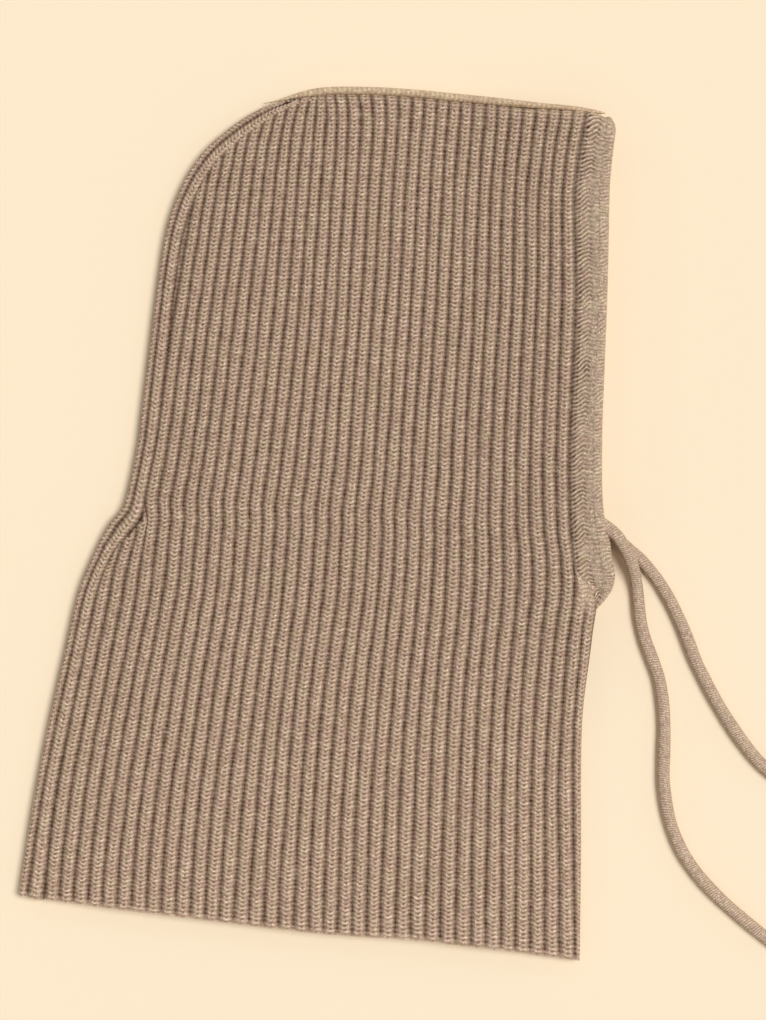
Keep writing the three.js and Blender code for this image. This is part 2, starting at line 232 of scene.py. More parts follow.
def carried(table, steps=24):
    """Each column of a table on a Catmull-Rom curve through its rows, with the row number as parameter."""
    values = np.array(list(table.values()), float)
    before = 2 * values[:, :1] - values[:, 1:2]
    after = 2 * values[:, -1:] - values[:, -2:-1]
    padded = np.concatenate([before, values, after], axis=1)
    last = values.shape[1] - 1
    row = np.linspace(0, last, steps * last + 1)
    first = np.minimum(row.astype(int), last - 1)
    t = row - first
    p0, p1, p2, p3 = (padded[:, first + k] for k in range(4))
    bent = (p2 - p0) * t + (2 * p0 - 5 * p1 + 4 * p2 - p3) * t**2 + (3 * p1 - p0 - 3 * p2 + p3) * t**3
    return dict(zip(table, p1 + bent / 2))


def read(table, key, at):
    """The columns of a table at given places of its key column."""
    return {name: np.interp(at, table[key], table[name]) for name in table}


def evened(values, *widths):
    """Running means over odd numbers of values, one after the other, with the ends held."""
    for width in widths:
        values = np.convolve(np.pad(values, width // 2, "edge"), np.ones(width) / width, "valid")
    return values


ROWS = carried(SECTIONS)
ROWS["flare"] = np.maximum(ROWS["flare"], 0)
EDGE = carried(BAND_EDGE)
HALVES = carried(BAND_HALF)


# Plan of the hood


def hem_line(x):
    """The hem's straight line, which falls by HEM_DROP from back to front."""
    return HEM_Y - HEM_DROP * (x - FRONT_X + HEM_WIDTH) / HEM_WIDTH


def hem_sag(x):
    """How far the hem hangs below its straight line: the back half sags and the front half is tight."""
    share = (x - FRONT_X + HEM_WIDTH) / HEM_WIDTH
    tight = smooth(share, 0.6, 0.75) * (1 - smooth(share, 0.88, 1))
    return HEM_SAG * (1 - smooth(share, 0.48, 0.72)) - HEM_TIGHT * tight


CROWN_Y = hem_line(FRONT_X) + HOOD_LENGTH - SEAM_WIDTH + CROWN_RAISE


def crown_line(x):
    """Top of the ribs: level over the back half, then falling softly towards the face."""
    corner = CROWN_CORNER * smooth(x, FRONT_X - 30 * MM, FRONT_X + 5 * MM)
    return CROWN_Y - CROWN_DROP * smooth(x, FRONT_X - HEAD_DEPTH / 2, FRONT_X) - corner


def thinning(x):
    """The rolled edge of the crown gets thinner towards the face."""
    return lerp(1, 0.62, smooth(x, FRONT_X - 55 * MM, FRONT_X))


def between(x, top, up):
    """Height on the table between the hem's edge and a top line."""
    return lerp(hem_line(x), top, up) - hem_sag(x) * (1 - smooth(up, 0, 0.3))


def height_of(up, x):
    """Height on the table at a share of the way from the hem to the crown."""
    return between(x, crown_line(x), up)


def back_of(row):
    """The back edge, as far behind the face as the head is deep and the flare adds."""
    return FRONT_X - HEAD_DEPTH * row["head"] - (HEM_WIDTH - HEAD_DEPTH) * row["flare"]


def front_fold(row, up):
    """The front edge: a fold up to the chin, then the seam line beside the opening."""
    seam = FRONT_X + HEAD_DEPTH * row["seam"]
    fold = FRONT_X + HEAD_DEPTH * row["fold"]
    return np.where(up > CHIN, lerp(fold, seam, smooth(up, CHIN, CHIN_OPEN)), fold)


BACK_X = np.maximum.accumulate(back_of(ROWS))
BACK_Y = height_of(ROWS["up"], BACK_X)
EVEN_UP = np.linspace(0, 1, 501)


def rib_pitch():
    """Width of a rib at even shares of the height. The nape's corner bends the pair and not the ribs, so
    the widths are evened out along the height."""
    row = read(ROWS, "up", EVEN_UP)
    back = np.interp(EVEN_UP, ROWS["up"], BACK_X)
    wide = (FRONT_X + HEAD_DEPTH * row["seam"] - back - EDGE_STRIP * row["strip"]) / row["ribs"]
    return evened(wide, 61, 41)


PITCH = rib_pitch()
EVEN_SEAM = evened(FRONT_X + HEAD_DEPTH * np.interp(EVEN_UP, ROWS["up"], ROWS["seam"]), 61, 41)


def from_outline(x, y, up):
    """Distance in plan to the back fold and the crown: the height of the right-angled triangle that the
    outline's places level with the point and above it make with the point."""
    level = np.maximum(x - np.interp(up, ROWS["up"], BACK_X), 0)
    top = np.where(x < BACK_X[-1], np.interp(x, BACK_X, BACK_Y), crown_line(x))
    above = np.maximum(top - y, 0)
    return level * above / np.maximum(np.hypot(level, above), 1e-9)


def loft_of(x, up, distance):
    """Height of both layers together: low at a fold, more in the middle, most along the face."""
    middle = lerp(HEM_HEIGHT, MIDDLE_HEIGHT, smooth(up, 0, 0.15))
    body = lerp(FOLD_HEIGHT, middle, smooth(distance, 0, RISE))
    near_face = smooth(x, FRONT_X - FACE_RISE, FRONT_X) * smooth(up, 0.22, 0.42)
    return lerp(body, FACE_HEIGHT, near_face)


def arc_of(reach, radius):
    """Length along a fold's round and then the flat, for a distance in plan from the fold."""
    bend = radius * np.arccos(np.clip(1 - reach / radius, -1, 1))
    return np.where(reach < radius, bend, radius * pi / 2 + reach - radius)


def reach_of(arc, radius):
    """The reverse of arc_of."""
    bend = radius * (1 - np.cos(np.minimum(arc / radius, pi / 2)))
    return np.where(arc < radius * pi / 2, bend, radius + arc - radius * pi / 2)


# Relief of the knit


def groove_of(t):
    """1 in the groove between two ribs, 0 on the crest. t runs from groove to groove."""
    return (0.5 + 0.5 * np.cos(2 * pi * t)) ** 2.2


def rise_of(t):
    """How far a row of stitches is bent upwards beside the middle of a rib, in stitches."""
    return V_RISE * np.minimum(np.abs(t - 0.5) / 0.36, 1)


def stitch_relief(t, phase):
    """Depth below the crest and painted shade of a rib's stitches: ridges at whole phases, valleys between
    them, and a hole where the two arms of a V meet; the shade is painted in the grooves and holes."""
    valley = valley_of(phase)
    groove = groove_of(t)
    hole = valley * bell(t - 0.5, 0.1)
    depth = GROOVE_DEPTH * groove + ARM_DEPTH * valley * (1 - 0.5 * groove) + HOLE_DEPTH * hole
    return depth, np.clip(groove * (0.8 + 0.2 * valley) + 0.8 * hole, 0, 1)


# Mesh building


def grid_triangles(rows, columns, start=0):
    """Two triangles for each cell of a grid of points, facing rows x columns' right-handed side."""
    index = start + np.arange(rows * columns).reshape(rows, columns)
    a, b = index[:-1, :-1].ravel(), index[:-1, 1:].ravel()
    c, d = index[1:, 1:].ravel(), index[1:, :-1].ravel()
    return np.concatenate([np.stack([a, b, c], 1), np.stack([a, c, d], 1)])


def fan(outer, inner, stride):
    """Triangles between a fine border and a coarse one that shares every stride-th point's place."""
    i = np.arange(len(outer) - 1)
    k = i // stride + (i % stride >= stride // 2)
    rim = np.stack([outer[:-1], outer[1:], inner[k]], 1)
    j = np.arange(len(inner) - 1)
    bridge = np.stack([outer[j * stride + stride // 2], inner[1:], inner[:-1]], 1)
    return np.concatenate([rim, bridge])


def shell_triangles(outer_shape, inner_shape):
    """A closed shell: the outer grid, the inner one turned round, and the four borders."""
    outer = np.arange(outer_shape[0] * outer_shape[1]).reshape(outer_shape)
    inner = outer.size + np.arange(inner_shape[0] * inner_shape[1]).reshape(inner_shape)
    down = (outer_shape[0] - 1) // (inner_shape[0] - 1)
    across = (outer_shape[1] - 1) // (inner_shape[1] - 1)
    return np.concatenate([
        grid_triangles(*outer_shape),
        grid_triangles(*inner_shape, start=outer.size)[:, ::-1],
        fan(outer[0, ::-1], inner[0, ::-1], across),
        fan(outer[-1], inner[-1], across),
        fan(outer[:, 0], inner[:, 0], down),
        fan(outer[::-1, -1], inner[::-1, -1], down),
    ])


def make_piece(name, points, triangles, uv, dark, material):
    """A mesh object of triangles. Points in one place become one vertex, and triangles without area go.
    uv and dark belong to each point before that, so a pattern may jump where a surface closes."""
    keys = np.round(points / 1e-6).astype(np.int64)
    _, first, place = np.unique(keys, axis=0, return_index=True, return_inverse=True)
    place = place.ravel()
    faces = place[triangles]
    real = (faces[:, 0] != faces[:, 1]) & (faces[:, 1] != faces[:, 2]) & (faces[:, 2] != faces[:, 0])
    faces, corners = faces[real], triangles[real].ravel()
    mesh = bpy.data.meshes.new(name)
    mesh.vertices.add(len(first))
    mesh.vertices.foreach_set("co", points[first].astype(np.float32).ravel())
    mesh.loops.add(faces.size)
    mesh.loops.foreach_set("vertex_index", faces.ravel().astype(np.int32))
    mesh.polygons.add(len(faces))
    mesh.polygons.foreach_set("loop_start", np.arange(0, faces.size, 3, dtype=np.int32))
    mesh.uv_layers.new(name="knit").data.foreach_set("uv", uv[corners].astype(np.float32).ravel())
    # dark carries the painted shade of grooves and holes to the materials
    shade = mesh.attributes.new("dark", "FLOAT", "CORNER")
    shade.data.foreach_set("value", dark[corners].astype(np.float32))
    mesh.update(calc_edges=True)
    mesh.validate()
    mesh.materials.append(material)
    piece = bpy.data.objects.new(name, mesh)
    bpy.context.scene.collection.objects.link(piece)
    return piece


def make_tube(name, points, uv, dark, material):
    """A piece of one grid of points that closes round itself and at both ends."""
    triangles = grid_triangles(*dark.shape)
    return make_piece(name, points.reshape(-1, 3), triangles, uv.reshape(-1, 2), dark.ravel(), material)


def make_shell(name, outer, inner, uv, dark, few, turned):
    """A piece of rib wool with an inside. The inner grid takes its pattern from every few-th point of the
    outer one, and is darkened by painted shade. turned: the grids' own order faces inwards."""
    triangles = shell_triangles(outer.shape[:2], inner.shape[:2])
    if turned:
        triangles = triangles[:, ::-1]
    points = np.concatenate([outer.reshape(-1, 3), inner.reshape(-1, 3)])
    uv = np.concatenate([uv.reshape(-1, 2), uv[few].reshape(-1, 2)])
    # The inside gets a painted shade
    dark = np.concatenate([dark.ravel(), 0.35 + 0.2 * dark[few].ravel()])
    return make_piece(name, points, triangles, uv, dark, RIB_WOOL)


# Materials


class Wiring:
    """Short calls for the nodes of one material."""

    def __init__(self, name):
        self.material = bpy.data.materials.new(name)
        self.material.use_nodes = True
        self.tree = self.material.node_tree
        self.shader = self.tree.nodes["Principled BSDF"]

    def node(self, kind, sockets=(), **settings):
        """A new shader node, with its sockets filled and its settings made."""
        made = self.tree.nodes.new("ShaderNode" + kind)
        for key, value in settings.items():
            setattr(made, key, value)
        for key, value in dict(sockets).items():
            self.put(made.inputs[key], value)
        return made

    def put(self, socket, value):
        """A link from another node, or a plain value."""
        if isinstance(value, bpy.types.NodeSocket):
            self.tree.links.new(value, socket)
        else:
            socket.default_value = value

    def math(self, operation, *values, clamp=False):
        made = self.node("Math", enumerate(values), operation=operation, use_clamp=clamp)
        return made.outputs[0]

    def mix(self, factor, first, second, blend="MIX"):
        made = self.node("Mix", data_type="RGBA", blend_type=blend)
        self.put(made.inputs["Factor"], factor)
        self.put(made.inputs[6], first)
        self.put(made.inputs[7], second)
        return made.outputs[2]

    def noise(self, place, scale, detail=2.0, roughness=0.5):
        sockets = {"Vector": place, "Scale": scale, "Detail": detail, "Roughness": roughness}
        return self.node("TexNoise", sockets).outputs[0]

    def ramp(self, value, stops):
        """A colour ramp with these places and colours."""
        made = self.node("ValToRGB", {0: value})
        elements = made.color_ramp.elements
        while len(elements) < len(stops):
            elements.new(0.5)
        for element, (place, colour) in zip(elements, stops):
            element.position = place
            element.color = colour
        return made.outputs[0]


def knit_material(name, light, base, dark, arms, fleck):
    """Heathered wool knit in three tones. arms is how much painted shade darkens it between two stitches,
    fleck how strong its specks are. The UV map's first number counts ribs and its second counts stitches,
    with a stitch's ridge at each whole number; the attribute dark, a painted shade, is 1 in grooves and
    holes."""
    w = Wiring(name)
    uv = w.node("UVMap", uv_map="knit").outputs[0]
    parts = w.node("SeparateXYZ", {0: uv})
    place = w.node("TexCoord").outputs["Object"]
    hollow = w.node("Attribute", attribute_name="dark").outputs["Fac"]
    # Each arm of a stitch has its own tint: yarns of several greys, pinks and straws are spun together
    halves, shift = (2.0, 1.0, 1.0), (0.0, 0.5, 0.0)
    cell = w.node("VectorMath", {0: uv, 1: halves, 2: shift}, operation="MULTIPLY_ADD").outputs[0]
    cell = w.node("VectorMath", {0: cell}, operation="FLOOR").outputs[0]
    random = w.node("TexWhiteNoise", {"Vector": cell}, noise_dimensions="3D")
    ridge = w.math("COSINE", w.math("MULTIPLY", parts.outputs[1], 2 * pi))
    ridge = w.math("MULTIPLY_ADD", ridge, 0.5, 0.5)
    fibre = w.noise(place, FIBRES, 3, 0.7)
    strand = w.noise(place, STRANDS, 2, 0.6)
    patch = w.noise(place, PATCHES, 2, 0.5)
    colour = w.ramp(strand, [(0.36, linear(*dark)), (0.48, linear(*base)), (0.62, linear(*light))])
    last = len(YARN_TINTS) - 1
    tint = w.ramp(random.outputs[0], [(i / last, linear(*yarn)) for i, yarn in enumerate(YARN_TINTS)])
    colour = w.mix(0.45, colour, tint)
    hue = w.ramp(w.noise(place, HUES, 2, 0.6), [(0.38, linear(*PINKISH)), (0.62, linear(*STRAW))])
    colour = w.mix(0.35, colour, hue)
    colour = w.mix(w.math("MULTIPLY", patch, 0.2), colour, linear(*PATCH_TINT))
    # Painted shade between the ridges of two stitches, in the dark tone
    valley = w.math("MULTIPLY", w.math("SUBTRACT", 1.0, ridge), arms)
    colour = w.mix(valley, colour, linear(*dark))
    # Painted shade: grooves and holes are mixed towards a brown, in some places more than in others
    shade_patchiness = w.math("MULTIPLY_ADD", w.noise(place, SHADE_PATCHES, 2, 0.6), 0.7, 0.65)
    shadow = w.math("MULTIPLY", w.math("MULTIPLY", hollow, shade_patchiness), 0.95, clamp=True)
    colour = w.mix(shadow, colour, linear(*PAINTED_GROOVE_SHADE))
    dull, plain, bright = (0.4, 0.38, 0.36, 1), (1.0, 1.0, 1.0, 1), (1.9, 1.88, 1.85, 1)
    speck = w.ramp(fibre, [(0.33, dull), (0.5, plain), (0.67, bright)])
    colour = w.mix(fleck, colour, speck, "MULTIPLY")
    # A little paler towards the hem
    low = w.math("MULTIPLY", w.node("SeparateXYZ", {0: place}).outputs[1], -PALER_DOWN)
    gain = w.math("ADD", w.math("MAXIMUM", low, 0.0), 1.0)
    pale = w.node("CombineXYZ", {axis: gain for axis in range(3)}).outputs[0]
    colour = w.mix(1.0, colour, pale, "MULTIPLY")
    relief = w.math("MULTIPLY_ADD", ridge, 0.9, w.math("MULTIPLY", fibre, 0.7))
    relief = w.math("MULTIPLY_ADD", strand, 0.5, relief)
    normal = w.node("Bump", {"Height": relief, "Strength": 0.6, "Distance": BUMP_HEIGHT})
    w.put(w.shader.inputs["Base Color"], colour)
    w.put(w.shader.inputs["Normal"], normal.outputs[0])
    w.shader.inputs["Roughness"].default_value = 0.92
    w.shader.inputs["Specular IOR Level"].default_value = 0.2
    w.shader.inputs["Sheen Weight"].default_value = 0.35
    w.shader.inputs["Sheen Roughness"].default_value = 0.5
    w.shader.inputs["Sheen Tint"].default_value = linear(*SHEEN_TINT)
    return w.material


RIB_WOOL = knit_material("rib_wool", (248, 224, 200), (212, 183, 158), (146, 114, 91), 0.5, 0.85)
BAND_WOOL = knit_material("band_wool", (242, 221, 192), (214, 190, 163), (154, 125, 102), 0.0, 0.8)
SEAM_WOOL = knit_material("seam_wool", (246, 222, 178), (230, 203, 158), (186, 156, 118), 0.3, 0.6)
CORD_WOOL = knit_material("cord_wool", (244, 222, 198), (220, 195, 170), (162, 134, 112), 0.7, 0.65)


# Camera


def make_camera():
    """Looks straight down from where the long side of its sensor takes in VIEW_HEIGHT."""
    distance = VIEW_HEIGHT * LENS / SENSOR
    data = bpy.data.cameras.new("camera")
    data.lens = LENS
    data.sensor_width = SENSOR
    data.clip_end = 20
    camera = bpy.data.objects.new("camera", data)
    camera.location = (*VIEW_CENTRE, VIEW_PLANE + distance)
    bpy.context.scene.collection.objects.link(camera)
    bpy.context.scene.camera = camera


make_camera()


# Cords


def even_path(points, step):
    """A path at even steps of length, on a Catmull-Rom curve through the given points."""
    curve = carried(dict(enumerate(np.array(points, float).T)), steps=40)
    fine = np.stack([curve[k] for k in range(3)], 1)
    length = run_of(fine)
    along = np.linspace(0, length[-1], int(round(length[-1] / step)) + 1)
    return along, np.stack([np.interp(along, length, fine[:, k]) for k in range(3)], 1)


def tube_points(path, across, upward):
    """Points round a path: at each of its places, across along the level direction square to it and
    upward along the third direction."""
    ahead = np.gradient(path, axis=0)
    ahead /= np.linalg.norm(ahead, axis=1)[:, None]
    level = np.cross(ahead, [0, 0, 1])
    level /= np.linalg.norm(level, axis=1)[:, None]
    third = np.cross(level, ahead)
    return path[:, None, :] + across[..., None] * level[:, None, :] + upward[..., None] * third[:, None, :]


def make_cord(name, route, material, diameter=CORD_DIAMETER, sides=24, step=0.33 * MM):
    """A knitted tube. Its radius is a half diameter less a fine relief of ribs that cross it slightly
    askew and zigzag over the wales; it closes at both ends in a quarter circle. Gives the cord, its length
    and every twelfth point of its middle."""
    along, path = even_path(np.array(route) * MM, step)
    turn = np.linspace(0, 2 * pi, sides + 1)[None, :]
    s = along[:, None]
    wales = turn / (2 * pi) * CORD_WALES
    wale = np.abs((wales % 1) - 0.5)
    wander = 0.35 * np.sin(s / (11 * MM)) + 0.2 * np.sin(s / (4.3 * MM) + 1)
    phase = s / CORD_RIB + CORD_SLANT * np.sin(turn + 0.8) + 0.5 * wale + wander
    valley = valley_of(phase)
    furrow = (0.5 - wale) * 2
    uneven = CORD_UNEVEN * np.sin(s / (6.1 * MM)) * np.sin(s / (15 * MM) + 2)
    radius = diameter / 2 + CORD_SWELL + uneven - CORD_RELIEF * valley - CORD_FURROW * furrow
    radius = radius * quarter_circle(np.minimum(s, along[-1] - s) / (diameter / 2))
    points = tube_points(path, radius * np.cos(turn), radius * np.sin(turn))
    points[..., 2] = np.maximum(points[..., 2], 0.0)  # it lies on the floor
    uv = np.stack([np.broadcast_to(wales, phase.shape), phase], -1)
    # Painted shade where the ribs' valleys cross the furrows between the wales
    cord = make_tube(name, points, uv, 0.35 * furrow * valley, material)
    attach(cord, "root")
    return cord, along[-1], path[::12]


for side, inside, route in (("right", RIGHT_INSIDE, RIGHT_CORD), ("left", LEFT_INSIDE, LEFT_CORD)):
    cord, length, path = make_cord(f"knitted_cord_{side}", [inside, *route], CORD_WOOL)
    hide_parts(f"drawcord_{side}")


# The two ribbed sides

RIB_STEPS = np.array([0, 0.15, 0.32, 0.5, 0.68, 0.85])  # columns of points in each rib, as shares of it
STITCHES = 198  # from hem to crown
HEM_ROUND = 1.8 * MM  # how far the hem's edge is rounded
HEM_SMOOTH = 3.2 * MM  # how far up the grooves are shallow
HEM_LIFT = 0.3  # share of the stitches' V that is left at the hem's edge
RIB_END = 3.1 * MM  # how far the ribs' ends stand up in front of the crown seam
END_SCALLOP = 0.9 * MM  # how much lower the grooves end there
END_SHADE = 0.9 * MM  # width of the painted shadow under the seam
NOTCH = 5 * MM  # how far from the pair the grooves between the ribs widen
NOTCH_DEPTH = 0.9 * MM
PAIR_SHADE = 1.1 * MM  # width of the groove beside the pair, and of its painted shade
PAIR_STEP = 0.6 * MM  # how much deeper the sides lie under the pair
LINES_FREE = 12 * MM  # how far from the pair and the fold the rib lines wander fully
FRONT_RIBS = 3.5  # how many ribs follow the seam line's own bends

# Bends of the rib lines: forwards beside the pair on the head, back in the neck, forwards under the nape's
# corner, and together at the crown. Those without a unit are shares of the height.
LEAN = 5.5 * MM
LEAN_START = 0.66
LEAN_REACH = 30 * MM
NECK_SHIFT = 3.5 * MM
NECK_RIBS = 12  # counted from the front, up to the first one that is shifted fully
NAPE_LEAN = 4.5 * MM
NAPE_REACH = 15 * MM
NAPE_FROM = 0.385
NAPE_FULL = 0.455
NAPE_EASE = 0.465
NAPE_UP = 0.5
GATHER = 6.5 * MM
GATHER_BACK = 1.5 * MM  # the same on the back's side
GATHER_PLACE = -5 * MM  # from the end of the centre-back pair
GATHER_REACH = 24 * MM
GATHER_DEPTH = 13 * MM


def wobble(x, y):
    """Small wandering of the rib lines, as knit has."""
    slow = np.sin(y / (48 * MM) + 4 * np.sin(x / (55 * MM)))
    quick = np.sin(y / (13 * MM) + x / (7 * MM)) * np.sin(x / (4.7 * MM) + 2)
    own = np.sin(y / (31 * MM) + 9 * np.sin(x / (9 * MM))) * np.sin(y / (19 * MM) + x / (3 * MM))
    return 0.3 * MM * slow + 0.16 * MM * quick + 0.3 * MM * own


def gather(x, y):
    """The ends of the ribs are drawn together where the crown seam starts: a shift towards that place, most
    at GATHER_REACH from it, that fades down from the crown."""
    from_crown = np.maximum(crown_line(x) - y, 0)
    aside = (x - BACK_X[-1] - GATHER_PLACE) / GATHER_REACH
    most = np.where(aside > 0, GATHER, GATHER_BACK)
    return -most * aside * np.exp(0.5 - aside**2 / 2) * np.exp(-from_crown / GATHER_DEPTH)


def lean(from_pair, up):
    """Towards the crown the ribs beside the centre-back pair crowd forwards."""
    return LEAN * smooth(up, LEAN_START, 1) * np.exp(-np.maximum(from_pair, 0) / LEAN_REACH)


def neck_shift(lane, up):
    """Below the nape the ribs behind the front ones lie further back."""
    low = (1 - smooth(up, NAPE_FULL, 0.56)) * lerp(0.6, 1, smooth(up, 0.1, 0.35))
    return NECK_SHIFT * smooth(lane, 0, NECK_RIBS) * low


def nape_lean(x, up):
    """Below the nape's corner the ribs bend forwards as they reach the centre-back pair: by NAPE_LEAN at its
    border, less with the distance below it."""
    border = BACK_X + EDGE_STRIP * ROWS["strip"]
    low = ROWS["up"] <= NAPE_UP
    border_x = np.maximum.accumulate(border[low])
    below = np.interp(x, border_x, height_of(ROWS["up"][low], border_x)) - height_of(up, x)
    here = smooth(up, NAPE_FROM, NAPE_FULL) * (1 - smooth(up, NAPE_EASE, NAPE_UP))
    return NAPE_LEAN * np.exp(-np.maximum(below, 0) / NAPE_REACH) * here


def side_plan(up, lane, inset):
    """Place in plan of each rib line (lane, counted back from the face seam line) on each row (up):
    evenly from the seam line to the centre-back pair, and round the front fold below the chin. Lanes past
    either end stay on it. Gives x, the lane kept, where the pair ends, and the front edge."""
    row = {key: value[:, None] for key, value in read(ROWS, "up", up).items()}
    back = np.interp(up, ROWS["up"], BACK_X)[:, None]
    pitch = np.interp(up, EVEN_UP, PITCH)[:, None]
    even_seam = np.interp(up, EVEN_UP, EVEN_SEAM)[:, None]
    up = up[:, None]
    pair_end = back + EDGE_STRIP * row["strip"]
    border = pair_end - UNDER_PAIR
    seam = FRONT_X + HEAD_DEPTH * row["seam"]
    fold = front_fold(row, up)
    radius = loft_of(fold, up, 0) / 2
    whole = arc_of(np.maximum(fold - seam, 0), radius)
    arc = np.clip(whole + lane * pitch, 0, whole)
    front = fold - np.where(fold - seam > 1e-6, reach_of(arc, radius), 0)
    plain = lerp(even_seam, seam, np.exp(-np.maximum(lane, 0) / FRONT_RIBS)) - lane * pitch
    plain = plain - neck_shift(lane, up)
    leaned = plain + lean(plain - border, up) + nape_lean(plain, up)
    # Lanes that reach under the pair stay on its border
    under = leaned < border
    x = np.where(lane < 0, front, np.where(under, border, leaned))
    kept = np.where(lane < 0, (arc - whole) / pitch, np.where(under, np.ceil(lane), lane))
    x = np.where(up <= CHIN, np.minimum(x, fold - inset), x)
    return x, kept, pair_end, fold


def layer_height(x, y, up, fold, layer, inset, sunk):
    """Height of one layer's surface: half of the loft, rounded off towards every fold, less what the
    relief takes away."""
    opening = RISE * smooth(up, CHIN, CHIN_OPEN)
    distance = np.minimum(from_outline(x, y, up), np.maximum(fold - x, 0) + opening)
    loft = loft_of(x, up, distance)
    radius = loft / 2 - inset
    round_off = np.clip((distance - inset) / radius, 0, 1)
    half = radius * quarter_circle(round_off) - sunk * round_off
    return loft / 2 + layer * half


def side_relief(t, phase, kept, up, edge, from_top, from_pair):
    """Depth and painted shade of a ribbed side: its stitches, softer under the band's tip and at the hem,
    with notches and a groove beside the pair that are deeper and painted darker, and a painted shadow under
    the seam."""
    depth, dark = stitch_relief(t, phase)
    # Beside the pair the grooves open into deeper notches on the head, with painted shade in them
    notch = bell(from_pair, NOTCH) * (0.5 + 0.5 * np.cos(2 * pi * t)) ** 1.2 * smooth(up, 0.6, 0.85)
    depth = depth + NOTCH_DEPTH * notch
    dark = np.maximum(dark, 0.95 * notch)
    # The grooves that wrap the front end softly under the band's tip
    at_tip = smooth(up, CHIN - 0.03, CHIN - 0.005) * (1 - smooth(up, CHIN + 0.01, CHIN_OPEN))
    under_tip = at_tip * (kept < -0.3)
    dark = dark * (1 - 0.85 * under_tip)
    depth = depth * (1 - 0.6 * under_tip)
    at_hem = 1 - smooth(edge, 0, HEM_SMOOTH)
    depth = depth * (1 - 0.75 * at_hem) + HEM_ROUND * (1 - quarter_circle(edge / HEM_ROUND))
    dark = np.maximum(dark * (1 - 0.8 * at_hem), 0.8 * bell(from_top, END_SHADE))
    at_pair = bell(np.maximum(from_pair, 0), PAIR_SHADE)
    depth = np.maximum(depth, GROOVE_DEPTH * at_pair) + PAIR_STEP * (from_pair < 0)
    return depth, np.maximum(dark, at_pair)


def make_side(name, layer):
    """One ribbed side, closed round its wall. Rows are half stitches, columns six to a rib. The stitches'
    V bends the rows upwards, less at the hem and at the ribs' ends."""
    up = np.linspace(0, 1, 2 * STITCHES + 1)
    first_lane = RIBS_IN_NECK + 1
    lane = first_lane - (np.arange(first_lane + 2)[:, None] + RIB_STEPS[None, :]).ravel()
    lane = np.append(lane, -2.0)[None, :]
    x, kept, pair_end, fold = side_plan(up, lane, 0)
    t = kept % 1
    phase = np.broadcast_to(np.arange(len(up))[:, None] / 2, t.shape)
    u = up[:, None]
    level = height_of(u, x)
    free = smooth(x - pair_end, 0, LINES_FREE) * smooth(fold - x, 0, LINES_FREE)
    x = x + (wobble(x, level) + gather(x, level)) * free
    top = crown_line(x) + RIB_END * thinning(x) - END_SCALLOP * (2 * t - 1) ** 2
    level = between(x, top, u)
    edge = np.maximum(level - height_of(0, x), 0)
    ends = np.clip((top - level) / (3 * STITCH), 0, 1) * lerp(HEM_LIFT, 1, smooth(edge, 0, 6 * STITCH))
    y = np.minimum(level + rise_of(t) * STITCH * ends, top)
    depth, dark = side_relief(t, phase, kept, u, edge, np.maximum(top - y, 0), x - pair_end)
    outer = np.stack([x, y, layer_height(x, y, u, fold, layer, 0, depth)], -1)
    # The inside is coarser, with plain rows a wall deeper
    few = slice(None, None, 4), slice(None, None, 6)
    inner_x, _, _, inner_fold = side_plan(up, lane, WALL)
    inner_x, inner_fold, inner_up = inner_x[few], inner_fold[::4], u[::4]
    inner_y = np.minimum(height_of(inner_up, inner_x), crown_line(inner_x) - WALL)
    inner_z = layer_height(inner_x, inner_y, inner_up, inner_fold, layer, WALL, 0)
    inner = np.stack([inner_x, inner_y, inner_z], -1)
    uv = np.stack([kept, phase], -1)
    side = make_shell(name, outer, inner, uv, dark, few, layer < 0)
    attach(side, "root")
    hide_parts("knit_body")


make_side("ribbed_side_right", 1)
make_side("ribbed_side_left", -1)


# The centre-back ribs, a strip that wraps the back fold

HALF_SECTION = 16  # columns of points on each layer


